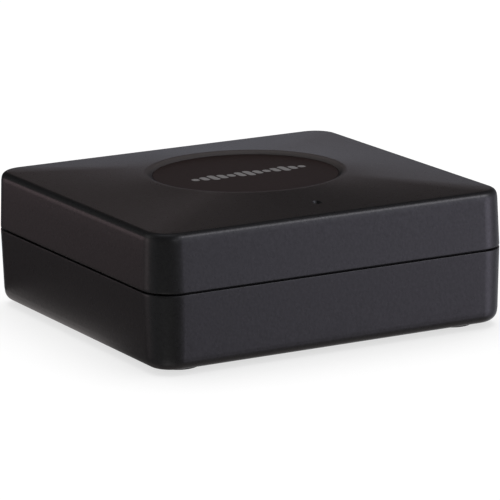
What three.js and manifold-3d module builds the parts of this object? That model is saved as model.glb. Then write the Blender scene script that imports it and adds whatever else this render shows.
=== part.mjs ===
// Bluetooth audio receiver: a two-shell desktop box with its boards, sockets and button.
// Millimetres, +Z up. Origin: centre of the footprint, on the plane the rubber feet stand on.
// Front is -Y (status light), rear is +Y (sockets, pairing button), +X is right seen from the front.
// Heights below are measured from the lower shell's underside; the group is raised by the feet.
import * as THREE from "three";
import { mergeVertices } from "three/addons/utils/BufferGeometryUtils.js";
import Module from "manifold-3d";

const wasm = await Module();
wasm.setup();

// ---------------------------------------------------------------- driving dimensions
const FOOT_PROUD = 0.8; // rubber feet stand this far below the lower shell
const WIDTH = 70.5, DEPTH = 66.2; // plan size at the parting line
const CORNER_R = 5.4; // plan corner radius at the parting line
const RIM_Z = 24; // top of the side wall
const PART_Z = 13.6; // middle of the parting gap
const SEAM = 0.35; // width of the visible gap between the shells
const DRAFT_UP = 2.25, DRAFT_DOWN = 1.72; // side wall draft, degrees
const TOP_FILLET = 1.28, BOTTOM_FILLET = 1.97;
const WALL = 2;
const FLOOR = 2; // lower shell floor thickness
const FLOOR_ROOT_Z = FLOOR - 0.5; // pieces standing on the floor start inside it
const CEILING_Z = 21.9; // inside face of the top plate
const CEILING_ROOT_Z = CEILING_Z + 0.6; // pieces hanging from the ceiling end inside it
const CREST_R = 17.9, CREST_Z = 25.58; // the lid rises in straight lines from its rim to this ring
const DISC_R = 16.6, DISC_Z = 25, DISC_T = 1.1; // glossy inlay in the dish
const POCKET_Z = 23.72; // floor of the inlay's pocket
const LIP_INSET = 1.1, LIP_TOP = 15.2; // tongue of the lower shell
const REBATE_INSET = 0.95, REBATE_TOP = 15.45; // rebate of the upper shell
const FOOT_R = 4, FOOT_H = 1.55, FOOT_RECESS_R = 4.15, FOOT_RECESS = 0.8;
const PLATE_HALF_X = 21, PLATE_HALF_Y = 12.5, PLATE_GAP = 0.3; // rating plate
const LIGHT_X = 0, LIGHT_Y = -26, LIGHT_HOLE_R = 0.78;
const BOARD_Z = 5, BOARD_T = 1.6, BOARD_TOP = BOARD_Z + BOARD_T;
const SOLDER = 0.04; // film under each part on the board
const PARTS_Z = BOARD_TOP + SOLDER; // underside of the parts on the board
const BOARD_SCREW_X = 26, BOARD_SCREW_Y = -2;
const LOCATING_PINS = [[20, -25.5], [-26, 16]]; // x, y
const JACK_X = -17, JACK_Z = BOARD_TOP + 2.7, NOSE_R = 2.65;
const USB_X = 17, USB_Z = BOARD_TOP + 1.4;
const BUTTON_Z = 9, BUTTON_R = 2.6;

// case screws and feet: place name, side in x, side in y
const BOSS_X = 27.5, BOSS_Y = 25.5;
const BOSSES = [
  ["front_left", -1, -1], ["front_right", 1, -1], ["rear_left", -1, 1], ["rear_right", 1, 1],
].map(([name, sideX, sideY]) => ({ name, sideX, sideY, x: sideX * BOSS_X, y: sideY * BOSS_Y }));

const FILLET_STEPS = 4, ARC_STEPS = 6; // steps up each edge fillet, and round each plan corner
const LID_SIDE_POINTS = 8; // extra points along each straight of the lid

const radians = (degrees) => (degrees * Math.PI) / 180;

// ---------------------------------------------------------------- solids helpers
function solid(geometry) {
  geometry.deleteAttribute("normal");
  geometry.deleteAttribute("uv");
  const merged = mergeVertices(geometry, 1e-4);
  return new wasm.Manifold(
    new wasm.Mesh({
      numProp: 3,
      vertProperties: new Float32Array(merged.attributes.position.array),
      triVerts: new Uint32Array(merged.index.array),
    }),
  );
}

function geometryOf(body) {
  const mesh = body.getMesh();
  const positions = new Float32Array(mesh.numVert * 3);
  for (let i = 0; i < mesh.numVert; i++) {
    const start = i * mesh.numProp;
    positions.set(mesh.vertProperties.subarray(start, start + 3), i * 3);
  }
  const geometry = new THREE.BufferGeometry()
    .setAttribute("position", new THREE.BufferAttribute(positions, 3))
    .setIndex(new THREE.BufferAttribute(new Uint32Array(mesh.triVerts), 1));
  geometry.computeVertexNormals();
  return geometry;
}

const join = (...bodies) => bodies.reduce((sum, body) => sum.add(body));
const cut = (body, ...tools) => tools.reduce((rest, tool) => rest.subtract(tool), body);

// box between two limits on each axis, given in either order
const box = (x0, x1, y0, y1, z0, z1) =>
  solid(
    new THREE.BoxGeometry(Math.abs(x1 - x0), Math.abs(y1 - y0), Math.abs(z1 - z0))
      .translate((x0 + x1) / 2, (y0 + y1) / 2, (z0 + z1) / 2),
  );
// box centred on x, y
const block = (x, y, halfX, halfY, z0, z1) =>
  box(x - halfX, x + halfX, y - halfY, y + halfY, z0, z1);

const cylinderZ = (radius, z0, z1, x, y, sides) =>
  solid(
    new THREE.CylinderGeometry(radius, radius, z1 - z0, sides)
      .rotateX(Math.PI / 2)
      .translate(x, y, (z0 + z1) / 2),
  );
const cylinderY = (radius, y0, y1, x, z, sides, endRadius = radius) =>
  solid(
    new THREE.CylinderGeometry(endRadius, radius, y1 - y0, sides)
      .translate(x, (y0 + y1) / 2, z),
  );

// profiles: [radius, distance along the axis] pairs that start and end on the axis
const turned = (profile, sides) =>
  new THREE.LatheGeometry(profile.map(([r, h]) => new THREE.Vector2(r, h)), sides);
const latheZ = (profile, x, y, z, sides) =>
  solid(turned(profile, sides).rotateX(Math.PI / 2).translate(x, y, z));
const latheY = (profile, y, z, sides) => solid(turned(profile, sides).translate(0, y, z));

const polygon = (points) => new THREE.Shape(points.map(([x, y]) => new THREE.Vector2(x, y)));
const extrude = (shape, depth) =>
  new THREE.ExtrudeGeometry(shape, { depth, bevelEnabled: false, curveSegments: 4 });
const extrudeZ = (shape, x, y, z0, z1) => solid(extrude(shape, z1 - z0).translate(x, y, z0));
// the shape's own y axis stands up along Z
const extrudeY = (shape, x, z, y0, y1) =>
  solid(extrude(shape, y1 - y0).rotateX(Math.PI / 2).translate(x, y1, z));

function roundedRectangle(halfX, halfY, radius) {
  const x = halfX - radius, y = halfY - radius;
  const quarter = Math.PI / 2;
  const shape = new THREE.Shape();
  shape.moveTo(-x, -halfY);
  shape.lineTo(x, -halfY);
  shape.absarc(x, -y, radius, -quarter, 0);
  shape.lineTo(halfX, y);
  shape.absarc(x, y, radius, 0, quarter);
  shape.lineTo(-x, halfY);
  shape.absarc(-x, y, radius, quarter, 2 * quarter);
  shape.lineTo(-halfX, -y);
  shape.absarc(-x, -y, radius, 2 * quarter, 3 * quarter);
  return shape;
}
const roundBar = (halfX, halfZ, radius, x, z, y0, y1) =>
  extrudeY(roundedRectangle(halfX, halfZ, radius), x, z, y0, y1);
const roundPlate = (halfX, halfY, radius, x, y, z0, z1) =>
  extrudeZ(roundedRectangle(halfX, halfY, radius), x, y, z0, z1);

// closed loops with the same number of points, stacked from the bottom, as one solid
function loft(loops) {
  const count = loops[0].length;
  const positions = loops.flat(2);
  const indices = [];
  for (let k = 0; k + 1 < loops.length; k++)
    for (let i = 0; i < count; i++) {
      const j = (i + 1) % count, lower = k * count, upper = lower + count;
      indices.push(lower + i, lower + j, upper + j, lower + i, upper + j, upper + i);
    }
  const centre = (loop) =>
    [0, 1, 2].map((axis) => loop.reduce((sum, point) => sum + point[axis], 0) / count);
  const bottom = loops.length * count, top = bottom + 1, last = bottom - count;
  positions.push(...centre(loops[0]), ...centre(loops[loops.length - 1]));
  for (let i = 0; i < count; i++) {
    const j = (i + 1) % count;
    indices.push(bottom, j, i, top, last + i, last + j);
  }
  return solid(
    new THREE.BufferGeometry()
      .setAttribute("position", new THREE.BufferAttribute(new Float32Array(positions), 3))
      .setIndex(indices),
  );
}

// the plan outline drawn in by an inset, at height z
function outline(inset, z, sidePoints = 0) {
  const radius = CORNER_R - inset;
  const x = WIDTH / 2 - inset - radius, y = DEPTH / 2 - inset - radius;
  const corners = [[x, y, 0], [-x, y, 90], [-x, -y, 180], [x, -y, 270]]; // centre, start angle
  const onCorner = ([cornerX, cornerY, start], turn) => {
    const angle = radians(start + turn);
    return [cornerX + radius * Math.cos(angle), cornerY + radius * Math.sin(angle), z];
  };
  const points = [];
  corners.forEach((corner, c) => {
    for (let k = 0; k <= ARC_STEPS; k++) points.push(onCorner(corner, (90 * k) / ARC_STEPS));
    const from = points[points.length - 1], to = onCorner(corners[(c + 1) % 4], 0);
    for (let k = 1; k <= sidePoints; k++) {
      const t = k / (sidePoints + 1);
      points.push([from[0] + (to[0] - from[0]) * t, from[1] + (to[1] - from[1]) * t, z]);
    }
  });
  return points;
}
// how far the outer face has drawn in from the parting line at height z
const drawIn = (z) =>
  z > PART_Z
    ? (z - PART_Z) * Math.tan(radians(DRAFT_UP))
    : (PART_Z - z) * Math.tan(radians(DRAFT_DOWN));
// the drafted case outline at height z, drawn in by a further amount
const ring = (z, inset = 0, sidePoints = 0) => outline(drawIn(z) + inset, z, sidePoints);
// one loop of an edge fillet: step 0 is on the side wall, side is 1 for a top edge, -1 for a bottom
function filletRing(edgeZ, fillet, side, step, sidePoints = 0) {
  const angle = (Math.PI / 2) * (step / FILLET_STEPS);
  const inset = drawIn(edgeZ) + fillet * (1 - Math.cos(angle));
  return outline(inset, edgeZ - side * fillet * (1 - Math.sin(angle)), sidePoints);
}

// ---------------------------------------------------------------- materials
const standard = (settings) => new THREE.MeshStandardMaterial(settings);
const MATERIALS = {
  case: standard({ color: 0x1d1c1f, roughness: 0.5 }),
  inlay: standard({ color: 0x171312, roughness: 0.25 }),
  adhesive: standard({ color: 0xd8d4c4, roughness: 0.8 }),
  clear: standard({ color: 0xdfe6ea, roughness: 0.1 }),
  button: standard({ color: 0x202022, roughness: 0.45 }),
  rubber: standard({ color: 0x111111, roughness: 0.9 }),
  label: standard({ color: 0xb9bbbd, roughness: 0.6 }),
  steel: standard({ color: 0x9a9a9c, roughness: 0.35, metalness: 1 }),
  board: standard({ color: 0x0d4a2a, roughness: 0.5 }),
  module: standard({ color: 0x0b2f5c, roughness: 0.5 }),
  chip: standard({ color: 0x141414, roughness: 0.6 }),
  tin: standard({ color: 0xc4c6c8, roughness: 0.3, metalness: 1 }),
  copper: standard({ color: 0xc98b4b, roughness: 0.35, metalness: 1 }),
  gold: standard({ color: 0xd9b25a, roughness: 0.3, metalness: 1 }),
  plastic: standard({ color: 0x121214, roughness: 0.55 }),
  ceramic: standard({ color: 0x9c7d5a, roughness: 0.6 }),
  white: standard({ color: 0xe8e6da, roughness: 0.5 }),
};

const receiver = new THREE.Group();
receiver.name = "bluetooth_audio_receiver";
receiver.position.z = FOOT_PROUD;
function add(name, body, material) {
  const mesh = new THREE.Mesh(geometryOf(body), MATERIALS[material]);
  mesh.name = name;
  receiver.add(mesh);
}

// ---------------------------------------------------------------- shells
// two ribs from a boss centre out towards the side walls
const bossRibs = ({ x, y, sideX, sideY }, reach, halfThick, z0, z1) => [
  box(x, x + sideX * reach, y - halfThick, y + halfThick, z0, z1),
  box(x - halfThick, x + halfThick, y, y + sideY * reach, z0, z1),
];

function lidBody() {
  const loops = [ring(PART_Z + SEAM / 2, 0, LID_SIDE_POINTS)];
  for (let k = 0; k <= FILLET_STEPS; k++)
    loops.push(filletRing(RIM_Z, TOP_FILLET, 1, k, LID_SIDE_POINTS));
  const rim = loops[loops.length - 1];
  // radius, height: crest, rounded shoulder into the dish, pocket wall, pocket floor
  const dish = [
    [CREST_R, CREST_Z], [17.45, 25.47], [16.95, 25.1], [16.83, DISC_Z - 0.05], [16.82, POCKET_Z],
  ];
  for (const [radius, z] of dish)
    loops.push(rim.map(([x, y]) => {
      const angle = Math.atan2(y, x);
      return [radius * Math.cos(angle), radius * Math.sin(angle), z];
    }));
  return loft(loops);
}

function upperShell() {
  const cavity = loft([
    outline(REBATE_INSET, PART_Z - 1),
    ring(REBATE_TOP, REBATE_INSET),
    ring(REBATE_TOP, WALL),
    ring(CEILING_Z, WALL),
  ]);
  let shell = cut(lidBody(), cavity);
  for (const boss of BOSSES) {
    shell = join(
      shell,
      cylinderZ(2.6, 8.2, CEILING_ROOT_Z, boss.x, boss.y, 20),
      join(...bossRibs(boss, 6, 0.5, 15.6, CEILING_ROOT_Z)),
    );
    shell = cut(shell, cylinderZ(1.2, 8, 16, boss.x, boss.y, 12)); // screw pilot
  }
  // holder for the light pipe, then its bore and the pinhole
  shell = join(shell, cylinderZ(2.7, 15, CEILING_ROOT_Z, LIGHT_X, LIGHT_Y, 20));
  shell = cut(
    shell,
    cylinderZ(1.62, 14, 21.2, LIGHT_X, LIGHT_Y, 20),
    cylinderZ(LIGHT_HOLE_R, 20, 26.5, LIGHT_X, LIGHT_Y, 20),
  );
  // two ribs hanging over the board
  for (const x of [-12, 12]) shell = join(shell, block(x, 3, 0.6, 6, 12, CEILING_Z + 0.5));
  return shell;
}

function lowerShellBody() {
  const loops = [];
  for (let k = FILLET_STEPS; k >= 0; k--) loops.push(filletRing(0, BOTTOM_FILLET, -1, k));
  loops.push(ring(PART_Z - SEAM / 2));
  const tongue = loft([
    ring(PART_Z - 1.5, LIP_INSET),
    ring(PART_Z, LIP_INSET),
    outline(LIP_INSET, LIP_TOP - 0.3),
    outline(LIP_INSET + 0.25, LIP_TOP),
  ]);
  const cavity = loft([
    ring(FLOOR, WALL + 0.1),
    ring(PART_Z, WALL),
    outline(WALL, LIP_TOP + 1),
  ]);
  return cut(join(loft(loops), tongue), cavity);
}

function rearApertures() {
  const rear = DEPTH / 2 - drawIn(BUTTON_Z); // outer face of the rear wall at the button
  const inside = 28, outside = 36;
  return [
    // power socket and its relief
    roundBar(4.35, 1.95, 0.9, USB_X, USB_Z, inside, outside),
    roundBar(5.9, 3.55, 1.6, USB_X, USB_Z, rear - 0.9, outside),
    // audio socket and its flare
    cylinderY(NOSE_R + 0.15, inside, outside, JACK_X, JACK_Z, 32),
    cylinderY(3.55, rear - 0.35, rear + 0.6, JACK_X, JACK_Z, 32, 4),
    // button and its finger dimple
    cylinderY(BUTTON_R + 0.14, inside, outside, 0, BUTTON_Z, 32),
    cylinderY(3.4, rear - 0.5, rear + 0.6, 0, BUTTON_Z, 32, 4.15),
  ];
}

function lowerShell() {
  let shell = lowerShellBody();
  for (const boss of BOSSES) {
    const { x, y } = boss;
    shell = join(
      shell,
      cylinderZ(3.4, FLOOR_ROOT_Z, 8, x, y, 20),
      ...bossRibs(boss, 6.2, 0.6, FLOOR_ROOT_Z, 7),
    );
    // foot recess, counterbore, screw clearance
    shell = cut(
      shell,
      cylinderZ(FOOT_RECESS_R, -1, FOOT_RECESS, x, y, 24),
      cylinderZ(2.4, 0.5, 3.2, x, y, 16),
      cylinderZ(1.3, 3, 9, x, y, 12),
    );
  }
  // board standoffs with pilot holes
  for (const x of [-BOARD_SCREW_X, BOARD_SCREW_X]) {
    shell = join(shell, cylinderZ(2.5, FLOOR_ROOT_Z, BOARD_Z - SOLDER, x, BOARD_SCREW_Y, 16));
    shell = cut(shell, cylinderZ(0.85, 2.4, BOARD_Z + 1, x, BOARD_SCREW_Y, 10));
  }
  for (const [x, y] of LOCATING_PINS)
    shell = join(
      shell,
      cylinderZ(1.9, FLOOR_ROOT_Z, BOARD_Z - SOLDER, x, y, 14),
      cylinderZ(0.85, FLOOR, BOARD_TOP + 0.5, x, y, 10),
    );
  const plateRecess = roundPlate(
    PLATE_HALF_X + PLATE_GAP, PLATE_HALF_Y + PLATE_GAP, 1.6, 0, 0, -1, 0.28,
  );
  return cut(shell, plateRecess, ...rearApertures());
}

add("upper_shell", upperShell(), "case");
add("lower_shell", lowerShell(), "case");

// ---------------------------------------------------------------- inlay, light pipe
function badgeDisc() {
  const chamfer = 0.12;
  const profile = [
    [0, 0], [DISC_R, 0], [DISC_R, DISC_T - chamfer], [DISC_R - chamfer, DISC_T], [0, DISC_T],
  ];
  return latheZ(profile, 0, 0, DISC_Z - DISC_T, 48);
}
const ADHESIVE = [[0, 0], [15.9, 0], [15.9, 0.12], [0, 0.12]];
const LIGHT_PIPE = [
  [0, 0], [1.2, 0], [1.5, 0.3], [1.5, 12.5], [0.7, 13.1], [0.7, 16.1], [0.55, 16.3], [0, 16.35],
];
add("badge_disc", badgeDisc(), "inlay");
add("badge_adhesive", latheZ(ADHESIVE, 0, 0, POCKET_Z + 0.02, 32), "adhesive");
add("light_pipe", latheZ(LIGHT_PIPE, LIGHT_X, LIGHT_Y, 7.9, 16), "clear");

// ---------------------------------------------------------------- feet, plate, screws
const FOOT = [
  [0, 0], [FOOT_R - 0.5, 0], [FOOT_R - 0.15, 0.15], [FOOT_R, 0.5], [FOOT_R, FOOT_H], [0, FOOT_H],
];
const CASE_SCREW = [ // head first
  [0, 0], [1.7, 0], [2.1, 0.35], [2.1, 1.4], [1.05, 1.4], [1.05, 11.8], [0.4, 12.6], [0, 12.6],
];
const BOARD_SCREW = [ // tip first; zero is the underside of the head
  [0, -3.6], [0.3, -3.6], [0.78, -2.9], [0.78, 0], [1.9, 0], [1.9, 0.8], [1.5, 1.3], [0, 1.3],
];
const crossRecess = (x, y, z0, z1, reach, halfSlot = 0.22) =>
  join(block(x, y, reach, halfSlot, z0, z1), block(x, y, halfSlot, reach, z0, z1));
// head down: the drive recess faces the foot
const caseScrew = (x, y) =>
  cut(latheZ(CASE_SCREW, x, y, 1.75, 14), crossRecess(x, y, 1, 2.55, 1.1));
const boardScrew = (x, y) =>
  cut(
    latheZ(BOARD_SCREW, x, y, PARTS_Z, 14),
    crossRecess(x, y, BOARD_TOP + 0.75, BOARD_TOP + 2, 0.9),
  );

for (const { name, x, y } of BOSSES)
  add("foot_" + name, latheZ(FOOT, x, y, -FOOT_PROUD, 24), "rubber");
add("rating_plate", roundPlate(PLATE_HALF_X, PLATE_HALF_Y, 1.4, 0, 0, 0.1, 0.25), "label");
for (const { name, x, y } of BOSSES) add("case_screw_" + name, caseScrew(x, y), "steel");
for (const [name, side] of [["left", -1], ["right", 1]])
  add("board_screw_" + name, boardScrew(side * BOARD_SCREW_X, BOARD_SCREW_Y), "steel");

// ---------------------------------------------------------------- main board
function mainBoard() {
  // a wide and a deep rectangle, which leave the corners clear for the bosses
  let board = join(
    box(-29.4, 29.4, -21.5, 21.5, BOARD_Z, BOARD_TOP),
    box(-23.6, 23.6, -29.4, 29.6, BOARD_Z, BOARD_TOP),
  );
  const hole = (radius, x, y) => cylinderZ(radius, 4, 8, x, y, 16);
  for (const x of [-BOARD_SCREW_X, BOARD_SCREW_X]) board = cut(board, hole(1.1, x, BOARD_SCREW_Y));
  for (const [x, y] of LOCATING_PINS) board = cut(board, hole(1, x, y));
  return board;
}
add("main_board", mainBoard(), "board");

// ---------------------------------------------------------------- radio module
const RADIO_X = -14.5, RADIO_Y = -16;
const RADIO_TOP = PARTS_Z + 0.8;
const CAN_Y = RADIO_Y + 2.2, CAN_Z = RADIO_TOP + SOLDER; // the chip sits under the can's centre

// a comb: one bar with five teeth towards the rear
function antennaTrack() {
  const halfX = 5.4, line = 0.5, teeth = 5, frontY = RADIO_Y - 9, toothEndY = RADIO_Y - 6.2;
  const z0 = RADIO_TOP + 0.02, z1 = z0 + 0.1;
  const pitch = (2 * halfX - line) / (teeth - 1);
  let track = box(RADIO_X - halfX, RADIO_X + halfX, frontY, frontY + line, z0, z1);
  for (let i = 0; i < teeth; i++) {
    const x = RADIO_X - halfX + i * pitch;
    track = join(track, box(x, x + line, frontY, toothEndY, z0, z1));
  }
  return track;
}
// open-bottomed can with six vent holes
function radioShield() {
  const halfX = 5.7, halfY = 6.1, height = 2, sheet = 0.25;
  let can = cut(
    block(RADIO_X, CAN_Y, halfX, halfY, CAN_Z, CAN_Z + height),
    block(RADIO_X, CAN_Y, halfX - sheet, halfY - sheet, CAN_Z - 1, CAN_Z + height - sheet),
  );
  for (const x of [-3, 0, 3])
    for (const y of [-1, 5])
      can = cut(can, cylinderZ(0.45, CAN_Z, CAN_Z + 3, RADIO_X + x, RADIO_Y + y, 10));
  return can;
}
add("radio_board", block(RADIO_X, RADIO_Y, 6.5, 9.5, PARTS_Z, RADIO_TOP), "module");
add("antenna_track", antennaTrack(), "copper");
add("radio_shield", radioShield(), "tin");
add("radio_chip", block(RADIO_X, CAN_Y, 2.6, 2.6, CAN_Z, CAN_Z + 0.86), "chip");

// ---------------------------------------------------------------- parts on the board
// package with bent legs along its front and rear sides
function gullWing({ x, y, halfX, halfY, legsPerSide }) {
  const height = 1.6, pitch = 1.27, legWidth = 0.4;
  const knee = height * 0.45, sheet = 0.2;
  // leg seen from the side: distance from the package centre, height
  const leg = polygon([
    [halfY - 0.2, knee], [halfY + 0.35, knee], [halfY + 0.35, 0], [halfY + 1.1, 0],
    [halfY + 1.1, sheet], [halfY + 0.55, sheet], [halfY + 0.55, knee + sheet],
    [halfY - 0.2, knee + sheet],
  ]);
  let body = block(x, y, halfX, halfY, PARTS_Z + 0.15, PARTS_Z + height);
  for (let i = 0; i < legsPerSide; i++) {
    const legX = x + (i - (legsPerSide - 1) / 2) * pitch;
    for (const side of [-1, 1]) {
      const legGeometry = extrude(leg, legWidth)
        .translate(0, 0, -legWidth / 2)
        .rotateX(Math.PI / 2)
        .rotateZ((side * Math.PI) / 2)
        .translate(legX, y, PARTS_Z);
      body = join(body, solid(legGeometry));
    }
  }
  return body;
}
// three leads to the front, a tab to the rear
function voltageRegulator(x, y) {
  const leadTop = PARTS_Z + 0.3;
  let body = join(
    block(x, y, 3.3, 1.8, PARTS_Z + 0.1, PARTS_Z + 1.7),
    block(x, y + 2.5, 1.5, 0.9, PARTS_Z, leadTop),
  );
  for (const offset of [-2.3, 0, 2.3])
    body = join(body, block(x + offset, y - 2.5, 0.35, 0.9, PARTS_Z, leadTop));
  return body;
}
const crystal = (x, y) =>
  join(
    roundPlate(5.6, 2.3, 2.2, x, y, PARTS_Z + 0.3, PARTS_Z + 3.6),
    roundPlate(5.2, 1.9, 1.8, x, y, PARTS_Z, PARTS_Z + 0.4),
  );
const powerInductor = (x, y) =>
  join(
    roundPlate(3, 3, 1.2, x, y, PARTS_Z, PARTS_Z + 0.8),
    cylinderZ(2.3, PARTS_Z + 0.6, PARTS_Z + 2.6, x, y, 14),
    roundPlate(3, 3, 1.2, x, y, PARTS_Z + 2.3, PARTS_Z + 3.1),
  );
// round can, grooved near its foot, on a square base
const FILTER_CAN = [
  [0, 0], [2.5, 0], [2.5, 0.7], [2.3, 0.95], [2.5, 1.2], [2.5, 4.4], [2.3, 4.6], [0, 4.6],
];
const filterCapacitor = (x, y) =>
  join(
    block(x, y, 2.7, 2.7, PARTS_Z, PARTS_Z + 0.9),
    latheZ(FILTER_CAN, x, y, PARTS_Z + 0.8, 16),
  );
const statusLight = () =>
  join(
    block(LIGHT_X, LIGHT_Y, 1, 0.62, PARTS_Z, PARTS_Z + 0.4),
    block(LIGHT_X, LIGHT_Y, 0.65, 0.55, PARTS_Z + 0.3, PARTS_Z + 0.85),
  );
// block with a slightly larger cap at each end
const chipCapacitor = (x, y) =>
  join(
    block(x, y, 1, 0.62, PARTS_Z, PARTS_Z + 1),
    ...[-1, 1].map((side) =>
      box(x + side * 0.6, x + side * 1.05, y - 0.67, y + 0.67, PARTS_Z, PARTS_Z + 1.05)),
  );

const CONVERTER = { x: 2, y: 8, halfX: 5, halfY: 2, legsPerSide: 8 };
const MEMORY = { x: 4, y: -10, halfX: 2.5, halfY: 2, legsPerSide: 4 };
const FILTER_CAPACITORS = [[-6.5, 15.5], [-25, 8], [24.8, 9]]; // x, y
const CHIP_CAPACITORS = [[8.5, 14], [-8.5, 5], [9.5, -3.5], [23, -10]]; // x, y

add("audio_converter_chip", gullWing(CONVERTER), "chip");
add("memory_chip", gullWing(MEMORY), "chip");
add("voltage_regulator", voltageRegulator(18, 15), "chip");
add("crystal", crystal(-16, 1.5), "tin");
add("power_inductor", powerInductor(17, 2), "chip");
FILTER_CAPACITORS.forEach(([x, y], i) =>
  add(`filter_capacitor_${i + 1}`, filterCapacitor(x, y), "tin"));
add("status_light", statusLight(), "white");
CHIP_CAPACITORS.forEach(([x, y], i) =>
  add(`chip_capacitor_${i + 1}`, chipCapacitor(x, y), "ceramic"));

// ---------------------------------------------------------------- power socket
const USB_BACK = 26.8, USB_MOUTH = 31.9; // inner and outer ends in y

// mouth section run along Y: flat top, lower corners chamfered
function usbBar(halfX, halfZ, chamfer, y0, y1) {
  const section = polygon([
    [-halfX, halfZ], [-halfX, -halfZ + chamfer], [-halfX + chamfer, -halfZ],
    [halfX - chamfer, -halfZ], [halfX, -halfZ + chamfer], [halfX, halfZ],
  ]);
  return extrudeY(section, USB_X, USB_Z, y0, y1);
}
function powerSocketShell() {
  const halfX = 3.7;
  const tube = cut(
    usbBar(halfX, 1.33, 0.9, USB_BACK, USB_MOUTH),
    usbBar(3.42, 1.05, 0.75, USB_BACK - 1, USB_MOUTH + 1),
  );
  const lip = cut(
    usbBar(3.95, 1.36, 0.9, USB_MOUTH - 0.35, USB_MOUTH),
    usbBar(3.45, 1.08, 0.75, USB_MOUTH - 1, USB_MOUTH + 1),
  );
  let shell = join(tube, lip);
  // an upright tab and a foot on each side
  for (const side of [-1, 1]) {
    const x = USB_X + side * halfX;
    shell = join(
      shell,
      block(x, 29, 0.15, 0.8, PARTS_Z, USB_Z + 0.5),
      box(x, x + side, 28.2, 29.8, PARTS_Z, PARTS_Z + 0.3),
    );
  }
  return shell;
}
// back plug with the tongue
const powerSocketInsert = () =>
  join(
    usbBar(3.36, 0.99, 0.72, USB_BACK + 0.05, USB_BACK + 1.3),
    box(USB_X - 2, USB_X + 2, USB_BACK + 1.2, USB_MOUTH - 0.9, USB_Z + 0.2, USB_Z + 0.8),
  );
add("power_socket_shell", powerSocketShell(), "tin");
add("power_socket_insert", powerSocketInsert(), "plastic");

// ---------------------------------------------------------------- audio socket
const JACK_BACK = 18.2, JACK_SHOULDER = 30.2, NOSE_END = 32.55; // along y
const jackRod = (radius, y0, y1, sides) => cylinderY(radius, y0, y1, JACK_X, JACK_Z, sides);

function audioSocketBody() {
  // open-topped well for a spring: x limits from the bore, y limits from the back
  const well = (x0, x1, y0, y1) =>
    box(JACK_X + x0, JACK_X + x1, JACK_BACK + y0, JACK_BACK + y1, JACK_Z - 0.9, JACK_Z + 4);
  const body = join(
    box(JACK_X - 3.3, JACK_X + 3.3, JACK_BACK, JACK_SHOULDER, PARTS_Z, JACK_Z + 2.6),
    jackRod(NOSE_R, JACK_SHOULDER - 0.5, NOSE_END, 32),
  );
  return cut(
    body,
    jackRod(1.8, JACK_BACK - 1, NOSE_END - 2, 24),
    jackRod(2.18, NOSE_END - 2.5, NOSE_END + 1, 24),
    well(-2.9, -1.2, 1, 9.6), // tip spring
    well(1.2, 2.9, 3, 10.4), // ring spring
  );
}
// earth contact: a plain sleeve in the nose
const sleeveContact = () =>
  cut(
    jackRod(2.12, NOSE_END - 2.42, NOSE_END - 0.15, 24),
    jackRod(1.84, NOSE_END - 3, NOSE_END + 1, 24),
  );
// flat strip that bows towards the bore; side is the direction of the bow
function springContact(x, y0, y1, side) {
  const bowX = x + 0.55 * side, middle = (y0 + y1) / 2, sheet = 0.25;
  const edge = [
    [x, y0], [x, y0 + 1.2], [bowX, middle - 0.4], [bowX, middle + 0.4], [x, y1 - 0.4], [x, y1],
  ];
  const otherEdge = edge.map(([edgeX, y]) => [edgeX + sheet, y]).reverse();
  return extrudeZ(polygon([...edge, ...otherEdge]), 0, 0, JACK_Z - 0.65, JACK_Z + 0.65);
}
const tipContact = springContact(JACK_X - 2.55, JACK_BACK + 1.3, JACK_BACK + 9.3, 1);
const ringContact = springContact(JACK_X + 2.3, JACK_BACK + 3.3, JACK_BACK + 10.1, -1);
add("audio_socket_body", audioSocketBody(), "plastic");
add("audio_socket_sleeve_contact", sleeveContact(), "tin");
add("audio_socket_tip_contact", tipContact, "gold");
add("audio_socket_ring_contact", ringContact, "gold");

// ---------------------------------------------------------------- pairing switch and button
// base with a round pocket open to the rear
const switchBase = () =>
  cut(box(-3.2, 3.2, 25.4, 28.6, PARTS_Z, 11.2), cylinderY(2.15, 26.6, 30, 0, BUTTON_Z, 24));
// shallow snap dome on the pocket floor: inner face out to the edge, then back over the outer face
const DOME = [
  [0, 0.5], [0.86, 0.4], [1.5, 0.17], [1.86, 0], [2, 0], [1.6, 0.27], [0.9, 0.52], [0, 0.62],
];
// plate with two side legs
function switchCover() {
  const cover = join(
    box(-3.45, 3.45, 28.66, 28.9, PARTS_Z + 0.1, 11.4),
    ...[-1, 1].map((side) => box(side * 3.26, side * 3.5, 26.4, 28.9, PARTS_Z, 10.2)),
  );
  return cut(cover, cylinderY(1.42, 28, 30, 0, BUTTON_Z, 24));
}
const PLUNGER = [ // radius, y
  [0, 27.85], [1.9, 27.85], [1.9, 28.55], [1.3, 28.55], [1.3, 29.7], [1.15, 29.82], [0, 29.82],
];
// crowned cap with a stem to the switch and a retaining flange inside the wall
function pairButton() {
  const face = 33.05;
  const cap = [ // radius, y
    [0, 29.87], [1.3, 29.87], [1.3, 30.3], [BUTTON_R, 30.3],
    [BUTTON_R, face - 0.45], [BUTTON_R - 0.12, face - 0.2], [BUTTON_R - 0.4, face - 0.07],
    [1.2, face - 0.01], [0, face],
  ];
  return join(latheY(cap, 0, BUTTON_Z, 28), box(-3.8, 3.8, 30.1, 30.82, 7.05, 11.7));
}
add("switch_base", switchBase(), "plastic");
add("switch_dome", latheY(DOME, 26.65, BUTTON_Z, 20), "tin");
add("switch_cover", switchCover(), "tin");
add("switch_plunger", latheY(PLUNGER, 0, BUTTON_Z, 28), "plastic");
add("pair_button", pairButton(), "button");

export default receiver;
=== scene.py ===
# Looks of a wireless audio receiver: a rounded box with a disc let into its lid, on four feet.
# Millimetres in the code, metres in the scene. Z is up from the shells' underside, which
# stands FEET above the floor. The status light is near the front (-Y), the sockets and the
# pairing button are in the rear wall (+Y).
from math import acos, atan2, cos, pi, radians, sin, tan

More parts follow.
